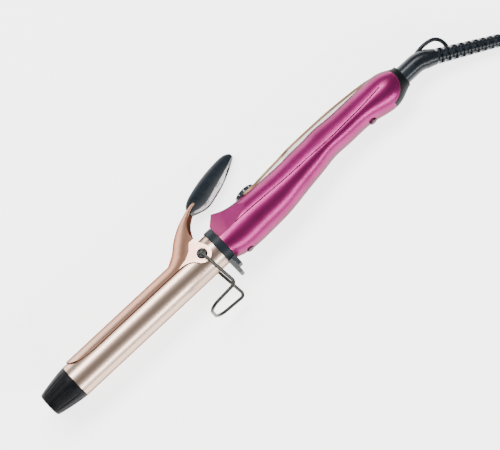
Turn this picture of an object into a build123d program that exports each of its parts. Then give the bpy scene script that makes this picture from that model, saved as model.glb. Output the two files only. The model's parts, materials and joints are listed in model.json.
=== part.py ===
from build123d import *
import os
from math import atan2, cos, degrees, pi, radians, sin, tan

# A curling iron: heated barrel with a sprung clamp and thumb lever, a folding wire rest, a
# two-shell handle with a temperature dial, and a mains lead on a swivel.
#
# The iron is drawn in its own frame: X runs along the barrel from the cool tip to the handle,
# with 0 where the tip meets the barrel, +Z points to the thumb lever and -Z to the wire rest.
# It is then laid down on its side, as it comes to rest on a table, by REST_PLANE. The lead is
# drawn straight in that lying frame, because it lies on the table. All sizes are in mm.

os.makedirs("parts", exist_ok=True)

# ---- barrel and cool tip ----
BARREL_RADIUS = 12.5
BARREL_WALL = 1.2
BARREL_BORE = BARREL_RADIUS - BARREL_WALL
BARREL_END = 134.5
TIP_LENGTH = 24.1
TIP_END_RADIUS = 8.6
TIP_PLUG_LENGTH = 7.0
TIP_FLUTES = 12
SLIDING_GAP = 0.05

# ---- clamp, lever and pivot ----
PIVOT_X = 120.0
CLAMP_SHEET = 0.9
CLAMP_INNER_RADIUS = BARREL_RADIUS + 0.2
CLAMP_OUTER_RADIUS = CLAMP_INNER_RADIUS + CLAMP_SHEET
CLAMP_TIP_X = 3.4
CLAMP_EDGE_Z = 3.0
EAR_INNER_Y = 12.8
EAR_THICKNESS = 1.0
EAR_OUTER_Y = EAR_INNER_Y + EAR_THICKNESS
EAR_RADIUS = 6.6
EAR_FRONT_X = 101.0
PIVOT_SHANK_RADIUS = 1.98
PIVOT_HOLE_RADIUS = 2.04
PIVOT_HEAD_RADIUS = 3.3
PIVOT_HEAD_Y = 15.0
WIRE_RADIUS = 1.15
WIRE_HOLE_RADIUS = WIRE_RADIUS + 0.06
LEVER_WALL = 1.5
LEVER_PLATE_THICKNESS = 0.9

# ---- wire rest ----
REST_LEG_Y = 17.0
REST_FOOT_Y = 16.2
REST_FOOT_X = 122.8
REST_FOOT_Z = -32.1
REST_TOE_X = 98.4
REST_TOE_Y = 12.0

# ---- collar and barrel holder ----
COLLAR_FRONT = 129.7
COLLAR_BACK = 135.8
COLLAR_RADIUS = 13.7
HOLDER_RADIUS = BARREL_BORE - SLIDING_GAP
HOLDER_FRONT = 110.0
HOLDER_BORE = 6.0
NECK_RADIUS = 8.5
NECK_FLANGE_RADIUS = 11.0
NECK_FLANGE_FRONT = 151.2
NECK_FLANGE_BACK = 154.0

# ---- handle ----
HANDLE_FRONT = 136.0
HANDLE_WALL = 2.0
PARTING_GAP = 0.08
# x, half width, height of the parting line, top and bottom of the outer form
HANDLE_STATIONS = [
    (136.0, 12.7, -1.0, 24.0, -13.3),
    (143.0, 14.0, -0.8, 20.9, -15.6),
    (151.0, 15.0, -0.4, 16.8, -16.8),
    (162.0, 15.5, -0.7, 14.9, -16.8),
    (176.0, 15.0, -1.1, 14.2, -16.4),
    (192.0, 14.0, -1.5, 13.6, -14.8),
    (209.0, 13.0, -1.5, 14.3, -12.1),
    (225.0, 12.2, -1.5, 14.8, -9.6),
    (241.0, 11.8, -1.4, 15.0, -8.5),
    (257.0, 11.9, -1.0, 14.4, -8.6),
    (273.0, 12.7, -0.4, 14.2, -10.4),
    (286.0, 13.4, 0.4, 14.0, -12.9),
    (292.0, 12.4, 0.8, 12.9, -12.2),
    (298.0, 10.1, 1.2, 10.1, -9.9),
    (303.0, 8.3, 1.3, 8.4, -8.2),
]
HOLLOW_FROM = 151.0
NOSE_CREST = (143.3, 4.5, 20.3)
NOSE_CREASE = (149.4, 15.0, -0.4)
NOSE_COLLAR = (136.0, 8.5, 9.5)
REAR_ARCH_X = 285.6
REAR_ARCH_Z = 1.0
REAR_ARCH_RADIUS = 13.0
REAR_GAP = 0.1

# ---- top panel: x, half width, height at its edge, height at its middle ----
PANEL_STATIONS = [
    (163.5, 3.0, 14.7, 15.1),
    (167.0, 7.2, 13.9, 15.3),
    (172.5, 8.9, 13.2, 15.3),
    (179.0, 7.8, 13.7, 15.2),
    (192.0, 6.2, 15.2, 15.8),
    (209.0, 5.6, 16.7, 17.1),
    (237.0, 5.2, 17.1, 17.5),
    (257.0, 4.8, 16.5, 16.9),
    (272.0, 4.3, 15.5, 15.9),
    (284.0, 3.2, 14.3, 14.7),
    (289.5, 1.4, 13.4, 13.7),
]
PANEL_THICKNESS = 1.9
PANEL_FORM_FOOT = 5.0

# ---- dial and its switch ----
DIAL_X = 170.0
DIAL_RADIUS = 7.8
DIAL_BOTTOM = 13.3
DIAL_TOP = 16.4
DIAL_FLUTES = 40
DIAL_SHAFT_RADIUS = 3.0
DIAL_POCKET_RADIUS = DIAL_RADIUS + 0.3
DIAL_BOSS_BOTTOM = 11.0

# ---- electronics ----
BOARD_BOTTOM = 3.0
BOARD_THICKNESS = 1.6
BOARD_TOP = BOARD_BOTTOM + BOARD_THICKNESS
BOARD_FRONT = 158.0
BOARD_BACK = 226.0
BOARD_HALF_WIDTH = 8.4
LAMP_X = 203.7

# ---- handle screws ----
FRONT_SCREW_X = 146.6
REAR_SCREW_X = 267.0
SCREW_RADIUS = 1.5
SCREW_HEAD_RADIUS = 2.5
SCREW_HEAD_HEIGHT = 1.8
PLUG_RADIUS = 2.8
# x, underside of the head, point of the screw, face of the plug that covers it
SCREWS = [(FRONT_SCREW_X, -13.6, -6.2, -17.0), (REAR_SCREW_X, -7.0, 7.5, -10.4)]

# ---- swivel ----
SPOOL_FRONT = 273.5
BUSH_FRONT = 281.0
FLANGE_FRONT = 283.45
FLANGE_BACK = 286.0
BUSH_BACK = 288.5
BUSH_RADIUS = 8.3
SPOOL_RADIUS = 3.6
FLANGE_RADIUS = 7.0
NECK_BACK_RADIUS = 5.2
RING_RADIUS = 4.4
RING_STARTS = (274.5, 278.0)
RING_WIDTH = 1.7

# ---- strain relief and lead ----
BOOT_FRONT = 288.8
BOOT_RADIUS = 6.75
BOOT_BORE_RADIUS = 7.1
ELBOW_X = 319.0
ELBOW_TURN = 28.0
BOOT_DROOP = 6.0
RIB_PITCH = 5.2
RIB_COUNT = 10
RIB_START_RADIUS = 5.6
RIB_END_RADIUS = 4.4
CORE_RADIUS = 3.7
CORD_DIAMETER = 5.8
CORD_RADIUS = CORD_DIAMETER / 2
CORD_TOTAL_LENGTH = 1800.0

# ---- lying on the table: roll onto the lever's edge, pitch, and where the drawing origin goes ----
REST_ROLL = 15.7
REST_PITCH = 1.2
REST_ORIGIN = (-176.49, -4.75, 19.53)


def lying_plane():
    """The drawing frame of the iron as it lies on the table, in the table's frame."""
    roll = radians(REST_ROLL)
    pitch = radians(REST_PITCH)
    along = Vector(cos(pitch), 0, -sin(pitch))
    level_z = Vector(0, cos(roll), -sin(roll))
    to_lever = level_z - along * level_z.dot(along)
    return Plane(origin=REST_ORIGIN, x_dir=along, z_dir=to_lever)


REST_PLANE = lying_plane()
iron_pieces = []
lead_pieces = []


def keep(piece, label, pieces):
    """Label a finished sub-part and add it to the iron or to the lead."""
    piece.part.label = label
    pieces.append(piece.part)


def revolve_outline(points):
    """A body turned about the X axis from (x, radius) points that start and end at the axis."""
    with BuildPart() as turned:
        with BuildSketch(Plane.XZ):
            with BuildLine():
                Polyline(*points, close=True)
            make_face()
        revolve(axis=Axis.X)
    return turned.part


def tube(start, length, outer, inner):
    """A plain tube about the X axis."""
    end = start + length
    return revolve_outline([(start, inner), (start, outer), (end, outer), (end, inner)])


# ---------------------------------------------------------------- forms shared by the handle parts
def half_form(upper):
    """The outer form of the handle above or below its parting line."""
    sign = 1 if upper else -1
    with BuildPart() as form:
        for x, half_width, parting, top, bottom in HANDLE_STATIONS:
            level = parting + sign * PARTING_GAP
            height = top - level if upper else level - bottom
            start = 0 if upper else 180
            with BuildSketch(Plane.YZ.offset(x)):
                with BuildLine():
                    arch = EllipticalCenterArc((0, level), half_width, height, start, arc_size=180)
                    Line(arch @ 1, arch @ 0)
                make_face()
        loft()
    return form.part


def whole_form(inset, first_x):
    """The handle's whole form from first_x back, drawn in by inset."""
    with BuildPart() as form:
        for x, half_width, parting, top, bottom in HANDLE_STATIONS:
            if x >= first_x:
                over = top - inset - parting
                under = parting - bottom - inset
                with BuildSketch(Plane.YZ.offset(x)):
                    with BuildLine():
                        EllipticalCenterArc((0, parting), half_width - inset, over, 0, arc_size=180)
                        EllipticalCenterArc((0, parting), half_width - inset, under, 180, arc_size=180)
                    make_face()
        loft()
    return form.part


def panel_form(drop):
    """A ridge along the top of the handle in the outline of the top panel, lowered by drop."""
    with BuildPart() as form:
        for x, half_width, edge, middle in PANEL_STATIONS:
            with BuildSketch(Plane.YZ.offset(x)):
                with BuildLine():
                    ThreePointArc(
                        (half_width, edge - drop), (0, middle - drop), (-half_width, edge - drop)
                    )
                    Polyline(
                        (-half_width, edge - drop), (-half_width, PANEL_FORM_FOOT),
                        (half_width, PANEL_FORM_FOOT), (half_width, edge - drop),
                    )
                make_face()
        loft()
    return form.part


def rear_trim(gap):
    """Everything in front of the arched cut where the shells end and the end cap begins."""
    with BuildPart() as trim:
        with BuildSketch(Plane.XZ):
            with Locations((REAR_ARCH_X - 100, 0)):
                Rectangle(200, 80)
            with Locations((REAR_ARCH_X, REAR_ARCH_Z)):
                Circle(REAR_ARCH_RADIUS + gap)
        extrude(amount=30, both=True)
    return trim.part


upper_form = half_form(upper=True)
lower_form = half_form(upper=False)
cavity = whole_form(HANDLE_WALL, HOLLOW_FROM)

# ---------------------------------------------------------------- barrel and cool tip
with BuildPart() as barrel:
    add(tube(0, BARREL_END, BARREL_RADIUS, BARREL_BORE))
    with Locations(Location((PIVOT_X, 0, 0), (90, 0, 0))):
        Cylinder(PIVOT_SHANK_RADIUS, 3 * BARREL_RADIUS, mode=Mode.SUBTRACT)
keep(barrel, "barrel", iron_pieces)

TIP_TAPER = [(-2.7, 12.4), (-8.1, 11.7), (-13.6, 10.8), (-19.0, 9.8), (-22.6, 9.0)]
tip_slope = degrees(atan2(TIP_TAPER[0][1] - TIP_TAPER[-1][1], TIP_TAPER[0][0] - TIP_TAPER[-1][0]))
with BuildPart() as cool_tip:
    with BuildSketch(Plane.XZ):
        with BuildLine():
            Polyline((TIP_PLUG_LENGTH, 8.5), (TIP_PLUG_LENGTH, BARREL_BORE - SLIDING_GAP),
                     (-SLIDING_GAP, BARREL_BORE - SLIDING_GAP), (-SLIDING_GAP, BARREL_RADIUS))
            taper = Spline((-SLIDING_GAP, BARREL_RADIUS), *TIP_TAPER)
            nose = ThreePointArc(taper @ 1, (-23.7, 8.3), (-TIP_LENGTH, 7.2))
            Polyline(nose @ 1, (-TIP_LENGTH, 0), (-16.0, 0), (-16.0, 8.5), (TIP_PLUG_LENGTH, 8.5))
        make_face()
    revolve(axis=Axis.X)
    with Locations(Plane.YZ.offset(-12.5)):
        with PolarLocations(11.0 + 1.5, TIP_FLUTES):
            Cylinder(1.9, 17, rotation=(0, tip_slope, 0), mode=Mode.SUBTRACT)
keep(cool_tip, "cool_tip", iron_pieces)

with BuildPart() as tip_insulator:
    add(tube(TIP_PLUG_LENGTH + 0.1, 1.6, BARREL_BORE - SLIDING_GAP, 3.0))
keep(tip_insulator, "tip_insulator", iron_pieces)

# ---------------------------------------------------------------- heater inside the barrel
SPREADER_START = 9.0
SPREADER_LENGTH = 95.0
SPREADER_RADIUS = BARREL_BORE - SLIDING_GAP
SLOT_HALF = 1.5
HEATER_START = 20.0
HEATER_LENGTH = 70.0
FUSE_Z = 6.2
with BuildPart() as heat_spreader_upper:
    with BuildSketch(Plane.YZ.offset(SPREADER_START)):
        Circle(SPREADER_RADIUS)
        Rectangle(3 * SPREADER_RADIUS, 2 * SLOT_HALF, mode=Mode.SUBTRACT)
        with Locations((0, -SPREADER_RADIUS)):
            Rectangle(3 * SPREADER_RADIUS, 2 * SPREADER_RADIUS, mode=Mode.SUBTRACT)
        with Locations((0, FUSE_Z)):
            Circle(1.8, mode=Mode.SUBTRACT)
    extrude(amount=SPREADER_LENGTH)
keep(heat_spreader_upper, "heat_spreader_upper", iron_pieces)

with BuildPart() as heat_spreader_lower:
    with BuildSketch(Plane.YZ.offset(SPREADER_START)):
        Circle(SPREADER_RADIUS)
        Rectangle(3 * SPREADER_RADIUS, 2 * SLOT_HALF, mode=Mode.SUBTRACT)
        with Locations((0, SPREADER_RADIUS)):
            Rectangle(3 * SPREADER_RADIUS, 2 * SPREADER_RADIUS, mode=Mode.SUBTRACT)
        with Locations((0, -FUSE_Z)):
            Circle(1.8, mode=Mode.SUBTRACT)
    extrude(amount=SPREADER_LENGTH)
keep(heat_spreader_lower, "heat_spreader_lower", iron_pieces)

with BuildPart() as ptc_heater:
    with BuildSketch(Plane.YZ.offset(HEATER_START)):
        Rectangle(12.0, 2.2)
    extrude(amount=HEATER_LENGTH)
keep(ptc_heater, "ptc_heater", iron_pieces)

with BuildPart() as insulating_film:
    with BuildSketch(Plane.YZ.offset(HEATER_START - 3)):
        Rectangle(13.0, 2.8)
        Rectangle(12.3, 2.3, mode=Mode.SUBTRACT)
    extrude(amount=HEATER_LENGTH + 6)
keep(insulating_film, "insulating_film", iron_pieces)

with BuildPart() as thermal_fuse:
    with BuildSketch(Plane.YZ.offset(78)):
        with Locations((0, FUSE_Z)):
            Circle(1.7)
    extrude(amount=14)
    fillet(thermal_fuse.edges().filter_by(GeomType.CIRCLE), 0.6)
keep(thermal_fuse, "thermal_fuse", iron_pieces)

# ---------------------------------------------------------------- barrel holder and collar
with BuildPart() as barrel_holder:
    add(revolve_outline([
        (HOLDER_FRONT, HOLDER_BORE), (HOLDER_FRONT, HOLDER_RADIUS), (BARREL_END - 0.1, HOLDER_RADIUS),
        (BARREL_END - 0.1, NECK_RADIUS), (NECK_FLANGE_FRONT, NECK_RADIUS),
        (NECK_FLANGE_FRONT, NECK_FLANGE_RADIUS), (NECK_FLANGE_BACK, NECK_FLANGE_RADIUS),
        (NECK_FLANGE_BACK, HOLDER_BORE),
    ]))
    with Locations(Location((PIVOT_X, 0, 0), (90, 0, 0))):
        Cylinder(PIVOT_SHANK_RADIUS, 3 * BARREL_RADIUS, mode=Mode.SUBTRACT)
    with Locations((FRONT_SCREW_X, 0, -NECK_RADIUS)):
        Cylinder(SCREW_RADIUS, 2 * (NECK_RADIUS - HOLDER_BORE), mode=Mode.SUBTRACT)
keep(barrel_holder, "barrel_holder", iron_pieces)

# A ring round the barrel's end with a tab on the rest side, the tab's front layer a softer pad.
TAB_HALF_WIDTH = 4.2
TAB_TOP = -10.0
TAB_BOTTOM = -19.8
PAD_HALF_WIDTH = 3.6
PAD_TOP = -BARREL_RADIUS - 0.1
PAD_BOTTOM = -25.2
PAD_THICKNESS = 3.0
with BuildPart() as collar:
    with BuildSketch(Plane.YZ.offset(COLLAR_FRONT)):
        Circle(COLLAR_RADIUS)
    extrude(amount=COLLAR_BACK - COLLAR_FRONT)
    chamfer(collar.edges().filter_by(GeomType.CIRCLE), 0.5)
    with BuildSketch(Plane.YZ.offset(COLLAR_FRONT + PAD_THICKNESS + 0.3)):
        with Locations((0, (TAB_BOTTOM + TAB_TOP) / 2)):
            RectangleRounded(2 * TAB_HALF_WIDTH, TAB_TOP - TAB_BOTTOM, 1.5)
    extrude(amount=COLLAR_BACK - COLLAR_FRONT - PAD_THICKNESS - 0.3)
    with BuildSketch(Plane.YZ.offset(COLLAR_FRONT)):
        Circle(BARREL_RADIUS + SLIDING_GAP)
    extrude(amount=BARREL_END - COLLAR_FRONT + 0.1, mode=Mode.SUBTRACT)
    with BuildSketch(Plane.YZ.offset(COLLAR_FRONT)):
        Circle(NECK_RADIUS + SLIDING_GAP)
    extrude(amount=COLLAR_BACK - COLLAR_FRONT, mode=Mode.SUBTRACT)
    with BuildSketch(Plane.YZ.offset(COLLAR_FRONT)):
        with Locations((0, (PAD_BOTTOM + PAD_TOP) / 2)):
            Rectangle(2 * PAD_HALF_WIDTH + 0.1, PAD_TOP - PAD_BOTTOM + 0.2)
    extrude(amount=PAD_THICKNESS, mode=Mode.SUBTRACT)
keep(collar, "collar", iron_pieces)

with BuildPart() as rest_pad:
    with BuildSketch(Plane.YZ.offset(COLLAR_FRONT)):
        with Locations((0, (PAD_BOTTOM + PAD_TOP) / 2)):
            Rectangle(2 * PAD_HALF_WIDTH, PAD_TOP - PAD_BOTTOM)
    extrude(amount=PAD_THICKNESS - SLIDING_GAP)
    fillet(rest_pad.edges().filter_by(Axis.Y).group_by(Axis.Z)[0], 1.2)
keep(rest_pad, "rest_pad", iron_pieces)

# ---------------------------------------------------------------- clamp, lever and pivot
# The thumb arm is a trough: each section is half an ellipse from its back point to its open edge,
# given as (back x, back z), (edge x, edge z) and half width.
ARM_START = 97.0
ARM_SECTIONS = [
    ((ARM_START, CLAMP_OUTER_RADIUS), (ARM_START, 0.0), CLAMP_OUTER_RADIUS),
    ((104.5, 18.4), (113.0, -1.0), 13.7),
    ((110.5, 23.9), (122.3, 7.0), 13.4),
    ((116.0, 27.9), (122.6, 17.5), 10.6),
    ((121.8, 31.1), (126.3, 25.8), 7.4),
    ((128.5, 33.9), (131.5, 30.0), 5.4),
    ((136.0, 36.4), (138.0, 33.2), 4.4),
    ((147.0, 38.6), (148.0, 36.2), 3.8),
]


def blended(stations, steps):
    """Stations given as equal lists of numbers, with steps - 1 smooth ones added between each two."""
    finer = []
    last = len(stations) - 1
    for index in range(last):
        before = stations[max(index - 1, 0)]
        here = stations[index]
        there = stations[index + 1]
        after = stations[min(index + 2, last)]
        for step in range(steps):
            t = step / steps
            finer.append([
                b + 0.5 * t * (c - a + t * (2 * a - 5 * b + 4 * c - d + t * (3 * (b - c) + d - a)))
                for a, b, c, d in zip(before, here, there, after)
            ])
    finer.append(list(stations[last]))
    return finer


def arm_form(sheet):
    """The solid inside the arm's outer skin, drawn in by the sheet's thickness."""
    sections = [[*back, *edge, half_width] for back, edge, half_width in ARM_SECTIONS]
    with BuildPart() as form:
        for back_x, back_z, edge_x, edge_z, half_width in blended(sections, 2):
            opening = Vector(edge_x, 0, edge_z)
            depth = Vector(back_x, 0, back_z) - opening
            plane = Plane(origin=opening, x_dir=(0, 1, 0), z_dir=Vector(0, 1, 0).cross(depth))
            with BuildSketch(plane):
                with BuildLine():
                    arch = EllipticalCenterArc(
                        (0, 0), half_width - sheet, depth.length - sheet, 0, arc_size=180
                    )
                    Line(arch @ 1, arch @ 0)
                make_face()
        loft(ruled=True)
    return form.part


arm_outer = arm_form(0)
arm_inner = arm_form(CLAMP_SHEET)
below_edge = Location(((ARM_START + BARREL_END) / 2, 0, CLAMP_EDGE_Z - BARREL_RADIUS))
with BuildPart() as thumb_arm:
    add(arm_outer)
    add(arm_inner, mode=Mode.SUBTRACT)
    with Locations(below_edge):
        Box(3 * BARREL_RADIUS + 2, 4 * BARREL_RADIUS, 2 * BARREL_RADIUS, mode=Mode.SUBTRACT)

with BuildPart() as clamp:
    # blade round the barrel's lever side, its free end rounded
    add(tube(CLAMP_TIP_X, ARM_START - CLAMP_TIP_X, CLAMP_OUTER_RADIUS, CLAMP_INNER_RADIUS))
    with BuildSketch(Plane.XZ):
        with BuildLine():
            Line((0, CLAMP_OUTER_RADIUS + 1), (0, -20))
            Line((0, -20), (140, -20))
            Line((140, -20), (140, CLAMP_EDGE_Z))
            Line((140, CLAMP_EDGE_Z), (24, CLAMP_EDGE_Z))
            Bezier((24, CLAMP_EDGE_Z), (12, CLAMP_EDGE_Z), (CLAMP_TIP_X, 8.0), (CLAMP_TIP_X, 13.0))
            Line((CLAMP_TIP_X, 13.0), (CLAMP_TIP_X, CLAMP_OUTER_RADIUS + 1))
            Line((CLAMP_TIP_X, CLAMP_OUTER_RADIUS + 1), (0, CLAMP_OUTER_RADIUS + 1))
        make_face()
    extrude(amount=20, both=True, mode=Mode.SUBTRACT)
    add(thumb_arm.part)
    # ears beside the barrel
    for side in (-1, 1):
        with BuildSketch(Plane.XZ.offset(-side * EAR_INNER_Y)):
            with BuildLine():
                Line((EAR_FRONT_X, CLAMP_EDGE_Z), (109.0, 4.6))
                Line((109.0, 4.6), (114.5, 7.6))
                Line((114.5, 7.6), (118.5, 12))
                Line((118.5, 12), (122.3, 12))
                Spline((122.3, 12), (123.4, 8.0), (125.6, 3.4), (PIVOT_X + EAR_RADIUS, 0))
                ThreePointArc((PIVOT_X + EAR_RADIUS, 0), (PIVOT_X, -EAR_RADIUS), (114.4, -3.5))
                Bezier((114.4, -3.5), (111.8, 0.7), (107.5, CLAMP_EDGE_Z), (EAR_FRONT_X, CLAMP_EDGE_Z))
            make_face()
        extrude(amount=-side * EAR_THICKNESS)
        with Locations(Location((PIVOT_X, side * EAR_OUTER_Y, 0), (-side * 90, 0, 0))):
            CounterSinkHole(PIVOT_HOLE_RADIUS, PIVOT_HEAD_RADIUS + 0.5, 2 * EAR_THICKNESS, 90)
keep(clamp, "clamp", iron_pieces)

# The thumb piece: x, half width, height of its rim and of its crown.
LEVER_STATIONS = [
    (133.2, 3.3, 31.0, 36.6),
    (136.0, 3.9, 30.0, 39.4),
    (140.0, 4.6, 28.9, 41.5),
    (146.0, 5.6, 28.3, 43.4),
    (152.0, 6.2, 29.7, 44.9),
    (160.0, 6.5, 32.2, 46.3),
    (168.0, 5.7, 35.2, 47.2),
    (175.0, 4.0, 38.3, 47.4),
    (179.5, 2.5, 40.6, 46.3),
    (181.7, 1.6, 41.8, 44.6),
]
LEVER_HOLLOW = (135.0, 176.0)


def lever_form(inset):
    """The domed form of the thumb piece, drawn in by inset where it is wide enough."""
    with BuildPart() as form:
        for x, half_width, rim, crown in LEVER_STATIONS:
            if inset == 0 or LEVER_HOLLOW[0] <= x <= LEVER_HOLLOW[1]:
                with BuildSketch(Plane.YZ.offset(x)):
                    with BuildLine():
                        dome = EllipticalCenterArc(
                            (0, rim - inset), half_width - inset, crown - rim, 0, arc_size=180
                        )
                        Line(dome @ 1, dome @ 0)
                    make_face()
        loft()
    return form.part


lever_hollow = lever_form(LEVER_WALL)
with BuildPart() as lever_shell:
    add(lever_form(0))
    add(lever_hollow, mode=Mode.SUBTRACT)
    add(arm_outer, mode=Mode.SUBTRACT)
keep(lever_shell, "lever_shell", iron_pieces)

SLOT_PLACES = [(146.5, -1.6), (161.0, -1.6)]
with BuildPart() as lever_plate:
    for x, half_width, rim, crown in LEVER_STATIONS:
        if LEVER_HOLLOW[0] <= x <= LEVER_HOLLOW[1]:
            with BuildSketch(Plane.YZ.offset(x)):
                with Locations((0, rim + 0.4 + LEVER_PLATE_THICKNESS / 2)):
                    Rectangle(2 * (half_width - LEVER_WALL - 0.1), LEVER_PLATE_THICKNESS)
    loft()
    with BuildSketch(Plane.XY.offset(20)):
        with Locations(*SLOT_PLACES):
            SlotOverall(4.8, 1.4)
    extrude(amount=30, mode=Mode.SUBTRACT)
    add(arm_outer, mode=Mode.SUBTRACT)
keep(lever_plate, "lever_plate", iron_pieces)

with BuildPart() as pivot_screws:
    for side in (-1, 1):
        with BuildSketch(Plane.XZ.offset(-side * HOLDER_BORE)):
            with Locations((PIVOT_X, 0)):
                Circle(PIVOT_SHANK_RADIUS)
        extrude(amount=-side * (PIVOT_HEAD_Y - HOLDER_BORE))
        with BuildSketch(Plane.XZ.offset(-side * (EAR_OUTER_Y - 0.35))):
            with Locations((PIVOT_X, 0)):
                Circle(PIVOT_HEAD_RADIUS)
        extrude(amount=-side * (PIVOT_HEAD_Y - EAR_OUTER_Y + 0.35))
        with BuildSketch(Plane.XZ.offset(-side * (PIVOT_HEAD_Y - 0.7))):
            with Locations((PIVOT_X, 0)):
                Rectangle(5.0, 1.1)
                Rectangle(1.1, 5.0)
        extrude(amount=-side * 0.7, mode=Mode.SUBTRACT)
    chamfer(pivot_screws.faces().filter_by(Axis.Y).sort_by(Axis.Y)[0].outer_wire().edges(), 0.4)
    chamfer(pivot_screws.faces().filter_by(Axis.Y).sort_by(Axis.Y)[-1].outer_wire().edges(), 0.4)
    with Locations(Location((PIVOT_X, 0, 0), (90, 0, 0))):
        Cylinder(WIRE_HOLE_RADIUS, 3 * PIVOT_HEAD_Y, mode=Mode.SUBTRACT)
keep(pivot_screws, "pivot_screws", iron_pieces)

# Torsion spring that holds the clamp shut: one leg lies on the barrel, the other stands in the arm.
SPRING_WIRE = 0.5
SPRING_COIL_RADIUS = 2.6
SPRING_PITCH = 1.4
SPRING_TURNS = 4.25
SPRING_X = 112.0
SPRING_Z = BARREL_RADIUS + SPRING_WIRE + SPRING_COIL_RADIUS + 0.1
SPRING_LENGTH = SPRING_PITCH * SPRING_TURNS
SPRING_LOWER_LEG = 8.0
SPRING_TOP = 21.0
with BuildPart() as return_spring:
    with BuildLine() as spring_coil:
        Helix(
            SPRING_PITCH, SPRING_LENGTH, SPRING_COIL_RADIUS,
            center=(SPRING_X, SPRING_LENGTH / 2, SPRING_Z), direction=(0, -1, 0),
        )
    with BuildSketch(Plane(origin=spring_coil.line @ 0, z_dir=spring_coil.line % 0)):
        Circle(SPRING_WIRE)
    sweep(path=spring_coil.line, is_frenet=True)
    with BuildSketch(Plane(origin=spring_coil.line @ 0, z_dir=(-1, 0, 0))):
        Circle(SPRING_WIRE)
    extrude(amount=SPRING_LOWER_LEG)
    with BuildSketch(Plane(origin=spring_coil.line @ 1, z_dir=(0, 0, 1))):
        Circle(SPRING_WIRE)
    extrude(amount=SPRING_TOP - SPRING_Z)
keep(return_spring, "return_spring", iron_pieces)

# ---------------------------------------------------------------- wire rest
with BuildPart() as wire_rest:
    with BuildLine() as rest_path:
        FilletPolyline(
            (PIVOT_X, -10.6, 0),
            (PIVOT_X, -REST_LEG_Y, 0),
            (REST_FOOT_X, -REST_FOOT_Y, REST_FOOT_Z),
            (REST_TOE_X, -REST_TOE_Y, REST_FOOT_Z),
            (REST_TOE_X, REST_TOE_Y, REST_FOOT_Z),
            (REST_FOOT_X, REST_FOOT_Y, REST_FOOT_Z),
            (PIVOT_X, REST_LEG_Y, 0),
            (PIVOT_X, 10.6, 0),
            radius=[1.95, 3.2, 9.5, 9.5, 3.2, 1.95],
        )
    with BuildSketch(Plane(origin=rest_path.line @ 0, z_dir=rest_path.line % 0)):
        Circle(WIRE_RADIUS)
    sweep(path=rest_path.line)
keep(wire_rest, "wire_rest", iron_pieces)

# ---------------------------------------------------------------- handle shells
def facet_through(first, second, third):
    """The plane through three points, facing away from the barrel's axis."""
    across = (second - first).cross(third - first)
    outward = across if across.dot(Vector(0, first.Y, first.Z)) > 0 else across * -1
    return Plane(origin=first, x_dir=second - first, z_dir=outward)


def mirrored(point):
    """The same point on the other side of the handle."""
    return Vector(point.X, -point.Y, point.Z)


crest, crease, at_collar = Vector(*NOSE_CREST), Vector(*NOSE_CREASE), Vector(*NOSE_COLLAR)
nose_facets = [
    facet_through(crest, crease, at_collar),
    facet_through(mirrored(crest), mirrored(crease), mirrored(at_collar)),
    facet_through(crest, mirrored(crest), Vector(HANDLE_FRONT, 0, 12.6)),
]
shell_trim = rear_trim(gap=0)
panel_outer = panel_form(drop=0)
panel_lower = panel_form(drop=PANEL_THICKNESS)

with BuildPart() as dial_boss:
    add(upper_form)
    with Locations((DIAL_X, 0, DIAL_BOSS_BOTTOM + 5)):
        Cylinder(DIAL_POCKET_RADIUS + 1.4, 10, mode=Mode.INTERSECT)

with BuildPart() as handle_upper_shell:
    add(upper_form)
    for facet in nose_facets:
        split(bisect_by=facet, keep=Keep.BOTTOM)
    add(cavity, mode=Mode.SUBTRACT)
    # bore for the barrel holder's neck and the pocket of its flange
    with Locations(Location((HANDLE_FRONT, 0, 0), (0, 90, 0))):
        Cylinder(NECK_RADIUS + 0.1, 40, mode=Mode.SUBTRACT)
    # boss under the dial, with the dial's pocket and its shaft hole
    add(dial_boss.part)
    with BuildSketch(Plane.XY.offset(DIAL_BOTTOM - 0.15)):
        with Locations((DIAL_X, 0)):
            Circle(DIAL_POCKET_RADIUS)
    extrude(amount=10, mode=Mode.SUBTRACT)
    with BuildSketch(Plane.XY):
        with Locations((DIAL_X, 0)):
            Circle(DIAL_SHAFT_RADIUS + SLIDING_GAP)
        with Locations((LAMP_X, 0)):
            SlotOverall(6.0, 2.6)
    extrude(amount=30, mode=Mode.SUBTRACT)
    # boss for the rear screw
    with BuildSketch(Plane.XY.offset(0.3)):
        with Locations((REAR_SCREW_X, 0)):
            Circle(3.2)
    extrude(amount=12.8)
    with BuildSketch(Plane.XY.offset(0.3)):
        with Locations((REAR_SCREW_X, 0)):
            Circle(SCREW_RADIUS)
    extrude(amount=8.0, mode=Mode.SUBTRACT)
    add(shell_trim, mode=Mode.INTERSECT)
keep(handle_upper_shell, "handle_upper_shell", iron_pieces)

with BuildPart() as handle_lower_shell:
    add(lower_form)
    add(cavity, mode=Mode.SUBTRACT)
    with Locations(Location((HANDLE_FRONT, 0, 0), (0, 90, 0))):
        Cylinder(NECK_RADIUS + 0.1, 40, mode=Mode.SUBTRACT)
    with BuildSketch(Plane.XY.offset(-8.0)):
        with Locations((REAR_SCREW_X, 0)):
            Circle(4.0)
    extrude(amount=7.6)
    for screw_x, head_z, _, _ in SCREWS:
        with BuildSketch(Plane.XY.offset(-20)):
            with Locations((screw_x, 0)):
                Circle(PLUG_RADIUS + SLIDING_GAP)
        extrude(amount=head_z + 20, mode=Mode.SUBTRACT)
        with BuildSketch(Plane.XY.offset(-20)):
            with Locations((screw_x, 0)):
                Circle(SCREW_RADIUS + 0.1)
        extrude(amount=20, mode=Mode.SUBTRACT)
    add(shell_trim, mode=Mode.INTERSECT)
keep(handle_lower_shell, "handle_lower_shell", iron_pieces)

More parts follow.
